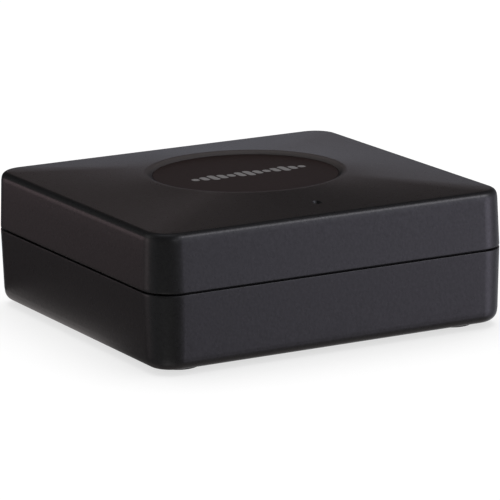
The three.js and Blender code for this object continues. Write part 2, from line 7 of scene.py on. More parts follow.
import bmesh
import bpy
import numpy as np
from mathutils import Matrix, Vector


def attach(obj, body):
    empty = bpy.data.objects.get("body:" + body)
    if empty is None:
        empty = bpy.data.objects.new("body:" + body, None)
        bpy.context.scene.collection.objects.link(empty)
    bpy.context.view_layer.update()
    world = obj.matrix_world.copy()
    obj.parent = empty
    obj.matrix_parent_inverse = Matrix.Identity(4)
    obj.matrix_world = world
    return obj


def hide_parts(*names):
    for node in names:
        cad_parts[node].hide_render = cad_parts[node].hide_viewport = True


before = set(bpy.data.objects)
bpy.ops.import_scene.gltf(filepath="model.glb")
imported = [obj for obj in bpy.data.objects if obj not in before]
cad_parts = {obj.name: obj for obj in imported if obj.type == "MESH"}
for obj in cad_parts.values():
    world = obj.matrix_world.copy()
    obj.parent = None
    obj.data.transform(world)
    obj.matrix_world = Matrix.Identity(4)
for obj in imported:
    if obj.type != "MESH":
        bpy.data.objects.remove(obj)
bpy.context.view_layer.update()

MM = 0.001
FEET = 0.8  # height of the shells' underside above the feet's plane

# shells
WIDTH, DEPTH, CORNER_R = 70.5, 66.2, 5.4
RIM_Z, PART_Z, SEAM = 24.0, 13.6, 0.35
DRAFT_UP, DRAFT_DOWN = 2.25, 1.72  # degrees, above and below the parting
TOP_FILLET, BOTTOM_FILLET, FILLET_STEPS = 1.28, 1.97, 12
EDGE_R, EDGE_STEPS = 0.12, 3  # rounding of both parting edges
WALL, FLOOR, CEILING_Z = 2.0, 2.0, 21.9
LIP_OUT, LIP_TOP = 1.1, 15.2  # the lower shell's tongue
RABBET_IN, RABBET_TOP = 0.95, 15.45  # the step in the upper shell that takes it
ARC, SIDE = 18, 26  # segments on a corner, extra points on a side

# lid's crest, and the disc let into it
CREST_R, CREST_Z = 17.9, 25.58
TURN_R, DISH_SLOPE = 1.5, radians(32)
DISC_R, DISC_Z, DISC_T = 16.70, 25.0, 1.1
POCKET_R, POCKET_Z = DISC_R + 0.04, 23.72

# corner bosses and feet
BOSS_X, BOSS_Y = 27.5, 25.5
CORNERS = {"front_left": (-1, -1), "front_right": (1, -1),
           "rear_left": (-1, 1), "rear_right": (1, 1)}
FOOT_R, FOOT_RECESS = 4.0, 0.8
FOOT_RECESS_R = FOOT_R + 0.15

# light, rating plate (half sizes), board, and what opens in the rear wall
LIGHT_Y, LIGHT_R = -26.0, 0.78
PLATE_X, PLATE_Y = 21.0, 12.5
BOARD_Z, BOARD_TOP = 5.0, 6.6
PARTS_Z = BOARD_TOP + 0.04  # underside of what stands on the board
JACK_X, JACK_Z, NOSE_R, NOSE_Y = -17.0, 9.3, 2.65, 32.55
USB_X, USB_Z, USB_Y0, USB_Y1 = 17.0, 8.0, 26.8, 31.9
BUTTON_Z, BUTTON_R, BUTTON_Y = 9.0, 2.6, 33.05


# ------------------------------------------------------------------ mesh helpers
def mesh_object(name, verts, faces):
    mesh = bpy.data.meshes.new(name)
    points = np.asarray(verts, float) * MM
    points[:, 2] += FEET * MM
    mesh.from_pydata([tuple(p) for p in points], [], [tuple(f) for f in faces])
    mesh.validate()
    ob = bpy.data.objects.new(name, mesh)
    bpy.context.scene.collection.objects.link(ob)
    bm = bmesh.new()
    bm.from_mesh(mesh)
    bmesh.ops.remove_doubles(bm, verts=bm.verts, dist=1e-7)
    bmesh.ops.recalc_face_normals(bm, faces=bm.faces)
    bm.to_mesh(mesh)
    bm.free()
    return ob


def stack(loops, cap=True):
    """Closed loops of equal length joined by quads. A loop of one point ends it as a fan."""
    count = max(len(loop) for loop in loops)
    verts, faces, starts = [], [], []
    for loop in loops:
        starts.append(len(verts))
        verts.extend(map(tuple, loop))
    for k in range(len(loops) - 1):
        a, b = starts[k], starts[k + 1]
        for i in range(count):
            j = (i + 1) % count
            if len(loops[k]) == 1:
                faces.append((a, b + j, b + i))
            elif len(loops[k + 1]) == 1:
                faces.append((a + i, a + j, b))
            else:
                faces.append((a + i, a + j, b + j, b + i))
    if cap:
        if len(loops[0]) > 1:
            faces.append(tuple(range(starts[0] + count - 1, starts[0] - 1, -1)))
        if len(loops[-1]) > 1:
            faces.append(tuple(range(starts[-1], starts[-1] + count)))
    return verts, faces


def skin(loops, cap=True, name="tool"):
    return mesh_object(name, *stack(loops, cap))


def merge(parts):
    """Several (verts, faces) as one."""
    verts, faces = [], []
    for part_verts, part_faces in parts:
        start = len(verts)
        verts += part_verts
        faces += [tuple(k + start for k in face) for face in part_faces]
    return verts, faces


def level(outline, z, x=0):
    """An outline in plan, laid at height z."""
    return [(u + x, v, z) for u, v in outline]


def upright(outline, y, x=0, z=0):
    """An outline facing along Y, centred on (x, z)."""
    return [(u + x, y, v + z) for u, v in outline]


def scaled(outline, along_u, along_v):
    return [(u * along_u, v * along_v) for u, v in outline]


def lathe(profile, x=0.0, y=0.0, z=0.0, sides=64, along="z", cap=True, name="tool"):
    """Profile of (radius, height) turned about an axis through (x, y, z)."""
    loops = []
    for r, h in profile:
        if r <= 1e-9:
            loop = [(0.0, 0.0, h)]
        else:
            angles = [2 * pi * i / sides for i in range(sides)]
            loop = [(r * cos(a), r * sin(a), h) for a in angles]
        if along == "y":
            loop = [(u, w, -v) for u, v, w in loop]
        loops.append([(u + x, v + y, w + z) for u, v, w in loop])
    return skin(loops, cap, name)


def rod(r, z0, z1, x, y, sides):
    return lathe([(r, z0), (r, z1)], x, y, sides=sides)


def block(x0, x1, y0, y1, z0, z1):
    x0, x1 = sorted((x0, x1))
    y0, y1 = sorted((y0, y1))
    verts = [(x, y, z) for z in (z0, z1) for x, y in ((x0, y0), (x1, y0), (x1, y1), (x0, y1))]
    faces = [(3, 2, 1, 0), (4, 5, 6, 7), (0, 1, 5, 4), (1, 2, 6, 5), (2, 3, 7, 6), (3, 0, 4, 7)]
    return mesh_object("tool", verts, faces)


def bar_y(outline, y0, y1, x=0.0, z=0.0, name="tool"):
    return skin([upright(outline, y, x, z) for y in (y0, y1)], name=name)


def round_rect(half_x, half_y, r, arc=8, side=0):
    """Rounded rectangle: arc segments on each corner, side extra points on each side."""
    points = []
    centres = [(half_x - r, half_y - r, 0), (-half_x + r, half_y - r, 90),
               (-half_x + r, -half_y + r, 180), (half_x - r, -half_y + r, 270)]
    for c, (cx, cy, start) in enumerate(centres):
        for k in range(arc + 1):
            a = radians(start + 90 * k / arc)
            points.append((cx + r * cos(a), cy + r * sin(a)))
        next_x, next_y, next_start = centres[(c + 1) % 4]
        from_x, from_y = points[-1]
        to_x = next_x + r * cos(radians(next_start))
        to_y = next_y + r * sin(radians(next_start))
        for k in range(1, side + 1):
            t = k / (side + 1)
            points.append((from_x + (to_x - from_x) * t, from_y + (to_y - from_y) * t))
    return points


def boolean(target, cutter, operation):
    """Applies the operation and deletes the cutter."""
    modifier = target.modifiers.new("b", "BOOLEAN")
    modifier.operation = operation
    modifier.object = cutter
    modifier.solver = "EXACT"
    modifier.use_hole_tolerant = False
    depsgraph = bpy.context.evaluated_depsgraph_get()
    result = bpy.data.meshes.new_from_object(target.evaluated_get(depsgraph), depsgraph=depsgraph)
    target.modifiers.clear()
    old = target.data
    target.data = result
    bpy.data.meshes.remove(old)
    old = cutter.data
    bpy.data.objects.remove(cutter)
    bpy.data.meshes.remove(old)


def join(target, *others):
    for other in others:
        boolean(target, other, "UNION")
    return target


def cut(target, *others):
    for other in others:
        boolean(target, other, "DIFFERENCE")
    return target


def shade_smooth(mesh, degrees):
    mesh.polygons.foreach_set("use_smooth", [True] * len(mesh.polygons))
    mesh.set_sharp_from_angle(angle=radians(degrees))


def dress(ob, finish, replaces=None, body="case"):
    """Cleans and shades a built piece, gives it its finish and hands it to the frame."""
    mesh = ob.data
    bm = bmesh.new()
    bm.from_mesh(mesh)
    bmesh.ops.remove_doubles(bm, verts=bm.verts, dist=2e-7)
    bmesh.ops.dissolve_degenerate(bm, edges=bm.edges, dist=1e-7)
    bmesh.ops.recalc_face_normals(bm, faces=bm.faces)
    bm.to_mesh(mesh)
    bm.free()
    shade_smooth(mesh, 32)
    normals = ob.modifiers.new("normals", "WEIGHTED_NORMAL")
    normals.keep_sharp = True
    normals.weight = 80
    normals.mode = "FACE_AREA"
    mesh.materials.clear()
    mesh.materials.append(FINISH[finish])
    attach(ob, body)
    if replaces:
        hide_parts(replaces)


# ------------------------------------------------------------------ shader helpers
class Nodes:
    """Builds nodes in one tree. Inputs take a value or another node's socket; sizes are in mm."""

    def __init__(self, tree):
        self.tree = tree

    def __call__(self, kind, ins=None, **props):
        node = self.tree.nodes.new(kind)
        for key, value in props.items():
            setattr(node, key, value)
        self.fill(node, ins or {})
        return node

    def fill(self, node, ins):
        for key, value in ins.items():
            if isinstance(value, bpy.types.NodeSocket):
                self.tree.links.new(value, node.inputs[key])
            else:
                node.inputs[key].default_value = value

    def math(self, operation, a, b=0.0, c=None, clamp=False):
        ins = {0: a, 1: b}
        if c is not None:
            ins[2] = c
        return self("ShaderNodeMath", ins, operation=operation, use_clamp=clamp).outputs[0]

    def vector(self, operation, ins, output=0):
        return self("ShaderNodeVectorMath", ins, operation=operation).outputs[output]

    def noise(self, vector, size, detail=2.0, roughness=0.5):
        ins = {"Vector": vector, "Scale": 1000 / size, "Detail": detail, "Roughness": roughness}
        return self("ShaderNodeTexNoise", ins).outputs["Fac"]

    def voronoi(self, vector, size, ins, **props):
        ins = {"Vector": vector, "Scale": 1000 / size, **ins}
        return self("ShaderNodeTexVoronoi", ins, **props).outputs["Distance"]

    def remap(self, value, span, to=(0, 1), **props):
        ins = {"Value": value, "From Min": span[0], "From Max": span[1],
               "To Min": to[0], "To Max": to[1]}
        return self("ShaderNodeMapRange", ins, **props).outputs[0]

    def mix(self, factor, a, b):
        return self("ShaderNodeMix", {0: factor, 6: a, 7: b}, data_type="RGBA").outputs[2]

    def tint(self, value, colour, vary, span=(0.3, 0.7)):
        """The colour, darker and lighter by the share vary as the value crosses the span."""
        return self.mix(self.remap(value, span), rgba(colour, 1 - vary), rgba(colour, 1 + vary))

    def bump(self, height, distance, strength=1.0):
        ins = {"Strength": strength, "Distance": distance * MM, "Height": height}
        return self("ShaderNodeBump", ins).outputs[0]

    def object_xyz(self):
        position = self("ShaderNodeTexCoord").outputs["Object"]
        return self("ShaderNodeSeparateXYZ", {0: position}).outputs


def rgba(colour, factor=1.0):
    return tuple(c * factor for c in colour) + (1.0,)


def blank_material(name):
    material = bpy.data.materials.new(name)
    material.use_nodes = True
    material.node_tree.nodes.clear()
    nodes = Nodes(material.node_tree)
    return material, nodes, nodes("ShaderNodeOutputMaterial")


def principled(name):
    material, nodes, output = blank_material(name)
    shader = nodes("ShaderNodeBsdfPrincipled")
    nodes.fill(output, {0: shader.outputs[0]})
    return material, nodes, shader, nodes("ShaderNodeTexCoord").outputs["Object"]


# ------------------------------------------------------------------ materials
def moulded(name, colour, rough=0.45, grain=0.14, depth=0.012, vary=0.12, spec=0.5,
            rough_vary=0.02, painted_ring=None, graze=None):
    """Moulded plastic with a spark-eroded grain: grain and depth are in mm. The ring it may be
    given
    is painted light, a painted highlight: a paler ring round the Z axis on what is turned to the
    viewer, standing in for the light on the dish's wall: its colour, then the radii where it
    starts, peaks and ends. Graze is the specular level at a glancing angle."""
    material, nodes, shader, position = principled(name)
    if painted_ring or graze is not None:
        geometry = nodes("ShaderNodeNewGeometry").outputs
        ins = {0: geometry["Incoming"], 1: geometry["Normal"]}
        facing = nodes.vector("DOT_PRODUCT", ins, "Value")
    fine = nodes.noise(position, grain, 2.5, 0.6)
    pits = nodes.voronoi(position, grain * 2.2, {"Smoothness": 0.7, "Randomness": 1.0},
                         feature="SMOOTH_F1")
    coarse = nodes.noise(position, 0.9, 3, 0.6)
    tone = nodes.math("ADD", nodes.math("MULTIPLY", fine, 0.6), nodes.math("MULTIPLY", coarse, 0.4))
    tone_span = (0.35, 0.65)
    base = nodes.tint(tone, colour, vary, tone_span)
    sheen = nodes.remap(tone, tone_span, (rough - rough_vary, rough + rough_vary))
    # painted highlight: a paler ring on the dish's wall, in place of the light the wall catches
    if painted_ring:
        ring_light_colour, start, peak, end = painted_ring
        x, y, z = nodes.object_xyz()
        radius = nodes.math("SQRT", nodes.math("ADD", nodes.math("MULTIPLY", x, x),
                                               nodes.math("MULTIPLY", y, y)))

        def on_lid(value):
            """The value, kept to the lid's raised middle."""
            return nodes.math("MULTIPLY", value, nodes.remap(z, (24.2 * MM, 24.6 * MM)))

        outer = nodes.remap(radius, (start * MM, peak * MM))
        inner = nodes.remap(radius, (end * MM, peak * MM))
        strength = on_lid(nodes.math("MULTIPLY", outer, inner))
        # the painted highlight shows only where the wall is turned to the viewer
        seen = nodes.math("MULTIPLY", strength, nodes.remap(facing, (0.05, 0.36)))
        base = nodes.mix(seen, base, rgba(ring_light_colour))
        # the dish inside the crest is rougher
        matt = on_lid(nodes.remap(radius, (18.4 * MM, 17.5 * MM), (0, 0.26)))
        sheen = nodes.math("ADD", sheen, matt)
    height = nodes.math("ADD", nodes.math("MULTIPLY", fine, 0.65),
                        nodes.math("MULTIPLY", pits, 0.5))
    if graze is not None:
        mottle = nodes.remap(nodes.noise(position, 0.55, 1.5, 0.5), (0.3, 0.7), (0.89, 1.11))
        spec = nodes.math("MULTIPLY", mottle, nodes.remap(facing, (0.12, 0.55), (graze, spec)))
    nodes.fill(shader, {"Base Color": base, "Roughness": sheen, "IOR": 1.5,
                        "Normal": nodes.bump(height, depth), "Specular IOR Level": spec})
    return material


def metal(name, colour, rough=0.3, brushed=False):
    """Metal with a cloudy sheen and a fine texture, drawn out along Y where brushed."""
    material, nodes, shader, position = principled(name)
    cloud = nodes.noise(position, 1.2, 3, 0.6)
    stretch = {"Vector": position, "Scale": (1, 0.08 if brushed else 1, 1)}
    fine = nodes.noise(nodes("ShaderNodeMapping", stretch).outputs[0], 0.12)
    sheen = nodes.math("ADD", nodes.remap(cloud, (0.3, 0.7), (rough - 0.06, rough + 0.06)),
                       nodes.remap(fine, (0.3, 0.7), (-0.03, 0.03)))
    nodes.fill(shader, {"Base Color": nodes.tint(cloud, colour, 0.08), "Metallic": 1.0,
                        "Roughness": sheen, "Normal": nodes.bump(fine, 0.003, strength=0.6)})
    return material


def laminate(name, mask, trace):
    """Solder mask with the copper pattern showing faintly through it."""
    material, nodes, shader, position = principled(name)
    cells = nodes.voronoi(position, 3.4, {"Randomness": 0.75},
                          feature="DISTANCE_TO_EDGE", distance="MANHATTAN")
    line = nodes.remap(cells, (0.035, 0.06), (1, 0))
    dots = nodes.voronoi(position, 4.6, {"Randomness": 0.9}, feature="F1")
    via = nodes.remap(dots, (0.06, 0.075), (1, 0))
    cloud = nodes.noise(position, 6)
    base = nodes.tint(cloud, mask, 0.15)
    base = nodes.mix(nodes.math("MULTIPLY", line, 0.55), base, rgba(trace))
    base = nodes.mix(via, base, rgba((0.55, 0.50, 0.36)))
    height = nodes.math("ADD", nodes.math("MULTIPLY", line, 0.5),
                        nodes.math("MULTIPLY", nodes.noise(position, 0.3), 0.15))
    nodes.fill(shader, {"Base Color": base, "Normal": nodes.bump(height, 0.02, strength=0.8),
                        "Roughness": nodes.remap(cloud, (0.3, 0.7), (0.28, 0.38))})
    return material


def clear_plastic(name):
    material, nodes, shader, position = principled(name)
    rough = nodes.remap(nodes.noise(position, 0.5), (0.3, 0.7), (0.25, 0.4))
    # smoked grey tint, also painted shade: it darkens the guide so the pinhole reads as a dark hole
    nodes.fill(shader, {"Base Color": (0.16, 0.17, 0.18, 1), "Transmission Weight": 0.6,
                        "Specular IOR Level": 0.25, "IOR": 1.49, "Roughness": rough})
    return material


CASE = {"colour": (0.0086, 0.0086, 0.0092), "rough": 0.29, "grain": 0.22, "graze": 0.05}
FINISH = {
    "case": moulded("case_plastic", **CASE),
    # the lid's finish carries a painted highlight, a paler ring on the dish's wall
    "lid": moulded("lid_plastic_painted_ring", **CASE, painted_ring=((0.049, 0.042, 0.041), 18.6, 17.6, 15.4)),
    "inlay": moulded("inlay_skin", (0.0145, 0.0098, 0.0093), rough=0.46, grain=0.30,
                     depth=0.0015, vary=0.05, rough_vary=0.01, spec=0.035),
    "mark": moulded("mark_ink", (0.135, 0.132, 0.132), rough=0.40, grain=0.10, depth=0.002,
                    vary=0.06),
    "button": moulded("button_plastic", (0.012, 0.012, 0.0125), rough=0.34, depth=0.006,
                      vary=0.08),
    "foot": moulded("foot_rubber", (0.011, 0.011, 0.011), rough=0.72, grain=0.22, depth=0.02,
                    vary=0.18, spec=0.35),
    "label": moulded("label_film", (0.30, 0.31, 0.315), rough=0.42, grain=0.25, depth=0.002,
                     vary=0.03),
    "adhesive": moulded("adhesive_film", (0.72, 0.70, 0.62), rough=0.75, grain=0.4, depth=0.03,
                        vary=0.05),
    "socket": moulded("socket_plastic", (0.012, 0.012, 0.012), rough=0.38, grain=0.12,
                      depth=0.004, vary=0.08),
    "chip": moulded("chip_epoxy", (0.016, 0.016, 0.017), rough=0.52, grain=0.08, depth=0.006),
    "ceramic": moulded("ceramic_body", (0.36, 0.24, 0.15), rough=0.5, grain=0.1, depth=0.004),
    "lamp": moulded("lamp_body", (0.80, 0.79, 0.70), rough=0.3, grain=0.2, depth=0.002,
                    vary=0.03),
    "screw": metal("screw_zinc", (0.46, 0.46, 0.48), rough=0.32),
    "tin": metal("tin_plate", (0.62, 0.63, 0.64), brushed=True),
    "can": metal("can_aluminium", (0.66, 0.67, 0.69), rough=0.28, brushed=True),
    "copper": metal("track_metal", (0.70, 0.44, 0.22)),
    "contact": metal("gold_contact", (0.80, 0.60, 0.26), rough=0.22),
    "board": laminate("board_mask", mask=(0.010, 0.075, 0.030), trace=(0.030, 0.17, 0.060)),
    "module": laminate("module_mask", mask=(0.010, 0.030, 0.105), trace=(0.03, 0.08, 0.22)),
    "clear": clear_plastic("smoked_guide_painted_shade"),
}


# ------------------------------------------------------------------ the two shells
def draw_in(z):
    """How far the draft brings the wall in at height z."""
    if z > PART_Z:
        return (z - PART_Z) * tan(radians(DRAFT_UP))
    return (PART_Z - z) * tan(radians(DRAFT_DOWN))


def inset_outline(inset, arc=ARC, side=SIDE):
    return round_rect(WIDTH / 2 - inset, DEPTH / 2 - inset, max(CORNER_R - inset, 0.4), arc, side)


def ring(z, inset=0.0, arc=ARC, side=SIDE):
    """The drafted wall's outline at height z, brought in by the inset."""
    return level(inset_outline(draw_in(z) + inset, arc, side), z)


def cavity_ring(z, inset):
    return ring(z, inset, arc=10, side=0)


def around(angles, r, z):
    return list(zip(r * np.cos(angles), r * np.sin(angles), np.broadcast_to(z, angles.shape)))


def upper_outside():
    """Loops from the parting edge, up the wall and over the crest, to the pocket's centre."""
    low = PART_Z + SEAM / 2
    loops = [ring(low, EDGE_R)]
    for k in range(1, EDGE_STEPS + 1):
        a = pi / 2 * k / EDGE_STEPS
        loops.append(ring(low + EDGE_R * (1 - cos(a)), EDGE_R * (1 - sin(a))))
    wall_top = RIM_Z - TOP_FILLET
    loops += [ring(z) for z in (low + 0.6, PART_Z + 3.5, wall_top - 3.0, wall_top - 0.35)]
    for k in range(FILLET_STEPS + 1):
        a = radians(DRAFT_UP + (90 - DRAFT_UP - 5.0) * k / FILLET_STEPS)
        inset = draw_in(RIM_Z) + TOP_FILLET * (1 - cos(a))
        loops.append(level(inset_outline(inset), wall_top + TOP_FILLET * sin(a)))
    rim_x, rim_y, rim_z = np.array(loops[-1]).T
    angles, rim_r = np.arctan2(rim_y, rim_x), np.hypot(rim_x, rim_y)
    slope = np.arctan((CREST_Z - RIM_Z) / (rim_r - CREST_R))
    # the lid rises to the crest, a soft turn into the dish, which slopes down to the disc
    turn_r, turn_z = CREST_R + 0.15, CREST_Z - TURN_R
    top_r, top_z = turn_r + TURN_R * np.sin(slope), turn_z + TURN_R * np.cos(slope)
    for k in range(1, 19):
        t = k / 18
        loops.append(around(angles, rim_r + (top_r - rim_r) * t, rim_z + (top_z - rim_z) * t))
    for k in range(1, 17):
        tilt = slope + (-DISH_SLOPE - slope) * (k / 16)
        r, z = turn_r + TURN_R * np.sin(tilt), turn_z + TURN_R * np.cos(tilt)
        loops.append(around(angles, r, z))
    edge_z = float(z.mean()) - (float(r.mean()) - POCKET_R) * tan(DISH_SLOPE)
    for r, z in ((POCKET_R + 0.02, edge_z + 0.02 * tan(DISH_SLOPE)), (POCKET_R, edge_z - 0.02),
                 (POCKET_R, POCKET_Z), (12.0, POCKET_Z)):
        loops.append(around(angles, r, z))
    return loops + [[(0.0, 0.0, POCKET_Z)]]


def boss_webs(x, y, side_x, side_y, length, half, z0, z1):
    """Two webs from a corner boss towards the walls."""
    return (block(x, x + side_x * length, y - half, y + half, z0, z1),
            block(x - half, x + half, y, y + side_y * length, z0, z1))


def upper_shell():
    shell = skin(upper_outside(), name="upper_shell_skin")
    cut(shell, skin([cavity_ring(z, inset) for z, inset in (
        (PART_Z - 1, RABBET_IN - draw_in(PART_Z - 1)), (RABBET_TOP, RABBET_IN),
        (RABBET_TOP, WALL), (CEILING_Z - 0.6, WALL),
        (CEILING_Z - 0.18, WALL + 0.18), (CEILING_Z, WALL + 0.6))]))
    root = CEILING_Z + 0.6  # what hangs from the ceiling starts inside it
    for side_x, side_y in CORNERS.values():
        x, y = side_x * BOSS_X, side_y * BOSS_Y
        boss = join(lathe([(2.3, 8.2), (2.6, 8.5), (2.6, root)], x, y, sides=40),
                    *boss_webs(x, y, side_x, side_y, 6, 0.5, 15.6, root))
        cut(boss, rod(1.2, 8.0, 16.0, x, y, 24))
        join(shell, boss)
    light_holder = lathe([(2.5, 15.0), (2.7, 15.2), (2.7, root)], 0, LIGHT_Y, sides=40)
    ribs = [block(x - 0.6, x + 0.6, -3, 9, 12.0, CEILING_Z + 0.5) for x in (-12, 12)]
    join(shell, light_holder, *ribs)
    # light pipe's bore, and the pinhole with a softened mouth
    cut(shell, lathe([(1.62, 14.0), (1.62, 20.9), (1.32, 21.2), (LIGHT_R, 21.2), (LIGHT_R, 24.46),
                      (LIGHT_R + 0.10, 24.62), (LIGHT_R + 0.45, 26.5)], 0, LIGHT_Y, sides=48))
    dress(shell, "lid", "upper_shell")


def lower_outside():
    """Loops from the centre of the underside, up the wall, to the top of the tongue."""
    base = draw_in(0)
    loops = [[(0.0, 0.0, 0.0)]]
    for share in (0.25, 0.6, 0.9):
        loops.append(level(scaled(inset_outline(base + BOTTOM_FILLET), share, share), 0.0))
    for k in range(FILLET_STEPS, -1, -1):
        a = pi / 2 * k / FILLET_STEPS
        inset = base + BOTTOM_FILLET * (1 - cos(a))
        loops.append(level(inset_outline(inset), BOTTOM_FILLET - BOTTOM_FILLET * sin(a)))
    top = PART_Z - SEAM / 2
    loops += [ring(z) for z in (BOTTOM_FILLET + 0.4, 5.0, 9.0, top - 0.6)]
    for k in range(EDGE_STEPS + 1):
        a = pi / 2 * k / EDGE_STEPS
        loops.append(ring(top - EDGE_R * (1 - sin(a)), EDGE_R * (1 - cos(a))))
    return loops + [ring(top, LIP_OUT),  # land, then the tongue
                    level(inset_outline(LIP_OUT), LIP_TOP - 0.3),
                    level(inset_outline(LIP_OUT + 0.25), LIP_TOP)]


def cut_rear_openings(shell):
    """Openings in the rear wall, each with a softened mouth."""
    rear = DEPTH / 2 - draw_in(9)
    # recess round the power socket: (distance out from the wall's face, growth of the outline)
    relief = ((-0.9, -0.25), (-0.65, 0.0), (-0.15, 0.0), (0.12, 0.18), (1.5, 0.9))
    jack_r, button_r = NOSE_R + 0.15, BUTTON_R + 0.14
    cut(shell,
        skin([upright(round_rect(5.9 + grow, 3.55 + grow, 1.6 + grow, 10), rear + out,
                      USB_X, USB_Z) for out, grow in relief]),
        bar_y(round_rect(4.15, 1.66, 0.75, 8), 28, 36, USB_X, USB_Z),
        lathe([(jack_r, 28), (jack_r, rear - 0.42), (3.2, rear - 0.36), (3.45, rear - 0.25),
               (3.7, rear), (4.0, rear + 0.25), (5.2, rear + 1.5)],
              JACK_X, 0, JACK_Z, 72, "y"),
        lathe([(button_r, 28), (button_r, rear - 0.62), (BUTTON_R + 0.22, rear - 0.52),
               (3.1, rear - 0.44), (3.5, rear - 0.28), (3.85, rear - 0.04), (4.1, rear + 0.2),
               (5.0, rear + 1.5)], 0, 0, BUTTON_Z, 72, "y"))


def lower_shell():
    shell = skin(lower_outside(), name="lower_shell_skin")
    space = [cavity_ring(z, inset) for z, inset in (
        (FLOOR, WALL + 0.9), (FLOOR + 0.25, WALL + 0.35), (FLOOR + 0.8, WALL + 0.1),
        (PART_Z, WALL))]
    space.append(level(inset_outline(WALL, 10, 0), LIP_TOP + 1))
    cut(shell, skin(space))
    root = FLOOR - 0.5  # what stands on the floor starts inside it
    for side_x, side_y in CORNERS.values():
        x, y = side_x * BOSS_X, side_y * BOSS_Y
        profile = [(3.7, root), (3.7, FLOOR), (3.4, FLOOR + 0.3), (3.4, 7.8), (3.2, 8.0)]
        join(shell, join(lathe(profile, x, y, sides=40),
                         *boss_webs(x, y, side_x, side_y, 6.2, 0.6, root, 7.0)))
    rest = BOARD_Z - 0.04  # tops that carry the board
    for x in (-26, 26):
        post = lathe([(2.8, root), (2.8, FLOOR), (2.5, FLOOR + 0.3), (2.5, rest)], x, -2, sides=32)
        join(shell, cut(post, rod(0.85, 2.4, BOARD_Z + 1, x, -2, 20)))
    for x, y in ((20, -25.5), (-26, 16)):  # posts ending in a pin through the board
        join(shell, lathe([(1.9, root), (1.9, rest), (0.85, rest), (0.85, BOARD_TOP + 0.35),
                           (0.7, BOARD_TOP + 0.5)], x, y, sides=28))
    for side_x, side_y in CORNERS.values():  # foot recess, counterbore and screw hole
        cut(shell, lathe([(FOOT_RECESS_R + 0.6, -0.6), (FOOT_RECESS_R + 0.12, 0.0),
                          (FOOT_RECESS_R, 0.12), (FOOT_RECESS_R, FOOT_RECESS),
                          (2.4, FOOT_RECESS), (2.4, 3.2), (1.3, 3.2), (1.3, 9.0)],
                         side_x * BOSS_X, side_y * BOSS_Y))
    plate_recess = round_rect(PLATE_X + 0.3, PLATE_Y + 0.3, 1.6)
    cut(shell, skin([level(plate_recess, z) for z in (-1, 0.28)]))
    cut_rear_openings(shell)
    dress(shell, "case", "lower_shell")


# ------------------------------------------------------------------ inlay disc and its mark
def badge_disc():
    edge = 0.08
    profile = [(0, 0), (DISC_R - 0.1, 0), (DISC_R, 0.1)]
    for k in range(6):
        a = pi / 2 * k / 5
        profile.append((DISC_R - edge + edge * cos(a), DISC_T - edge + edge * sin(a)))
    profile += [(r, DISC_T) for r in (15.6, 12, 6, 0)]
    disc = lathe(profile, z=DISC_Z - DISC_T, sides=192, name="badge_disc_skin")
    dress(disc, "inlay", "badge_disc")


def level_bars():
    """A plain row of level bars, printed on the disc."""
    shares = [0.45, 0.70, 1.00, 0.80, 0.55, 0.88, 1.00, 0.72, 0.50, 0.78, 1.00, 0.66, 0.42]
    tallest, half_width, pitch = 1.95, 0.67, 23.4 / len(shares)  # tallest is a half height
    parts = []
    for i, share in enumerate(shares):
        x = 0.7 + (i - (len(shares) - 1) / 2) * pitch
        half = tallest * share
        outline = round_rect(half_width, half, half_width - 0.02, 6)
        parts.append(stack([level(outline, DISC_Z - 0.01, x), level(outline, DISC_Z + 0.012, x),
                            level(scaled(outline, 0.93, 1 - 0.04 / half), DISC_Z + 0.02, x)]))
    dress(mesh_object("disc_level_bars", *merge(parts)), "mark")


# ------------------------------------------------------------------ light pipe, feet, plate
def light_pipe():
    profile = [(0, 0), (1.2, 0), (1.5, 0.3), (1.5, 12.45), (1.44, 12.6), (0.75, 13.05),
               (0.7, 13.15), (0.7, 16.0), (0.66, 16.12), (0.55, 16.22), (0.35, 16.3), (0, 16.33)]
    pipe = lathe(profile, 0, LIGHT_Y, 7.9, 40, name="light_pipe_skin")
    dress(pipe, "clear", "light_pipe")


def feet():
    profile = [(0, 0.10), (2.3, 0.10), (2.45, 0.06), (2.55, 0.0), (3.35, 0.0), (3.6, 0.04),
               (3.82, 0.16), (3.95, 0.34), (FOOT_R, 0.6), (FOOT_R, 1.45), (3.9, 1.55), (0, 1.55)]
    for corner, (side_x, side_y) in CORNERS.items():
        foot = lathe(profile, side_x * BOSS_X, side_y * BOSS_Y, -FEET, 72,
                     name=f"foot_{corner}_skin")
        dress(foot, "foot", f"foot_{corner}")


def rating_plate():
    outline = round_rect(PLATE_X, PLATE_Y, 1.4, 12)
    plate = skin([level(scaled(outline, 0.998, 0.997), 0.1), level(outline, 0.13),
                  level(outline, 0.25)], name="rating_plate_skin")
    dress(plate, "label", "rating_plate")
    outer, inner = (round_rect(PLATE_X - inset, PLATE_Y - inset, r, 12)
                    for inset, r in ((1.4, 0.9), (1.65, 0.65)))
    low, high = 0.085, 0.105
    border = skin([level(inner, low), level(outer, low), level(outer, high),
                   level(inner, high), level(inner, low)], cap=False, name="rating_plate_border")
    dress(border, "mark")


# ------------------------------------------------------------------ pairing button
def pair_button():
    r, y = BUTTON_R, BUTTON_Y
    profile = [(0, 29.87), (1.3, 29.87), (1.3, 30.3), (r - 0.05, 30.3), (r, 30.36), (r, y - 0.50),
               (r - 0.04, y - 0.36), (r - 0.14, y - 0.22), (r - 0.30, y - 0.13),
               (r - 0.50, y - 0.09), (1.72, y - 0.085), (1.62, y - 0.11), (1.52, y - 0.15),
               (1.36, y - 0.15), (1.27, y - 0.10), (1.16, y - 0.05), (0.8, y - 0.02),
               (0.4, y - 0.004), (0, y)]
    button = lathe(profile, 0, 0, BUTTON_Z, 96, "y", name="pair_button_cap")
    join(button, bar_y(round_rect(3.8, 2.325, 0.4, 6), 30.1, 30.82, 0, 9.375))
    dress(button, "button", "pair_button", body="pair_button")


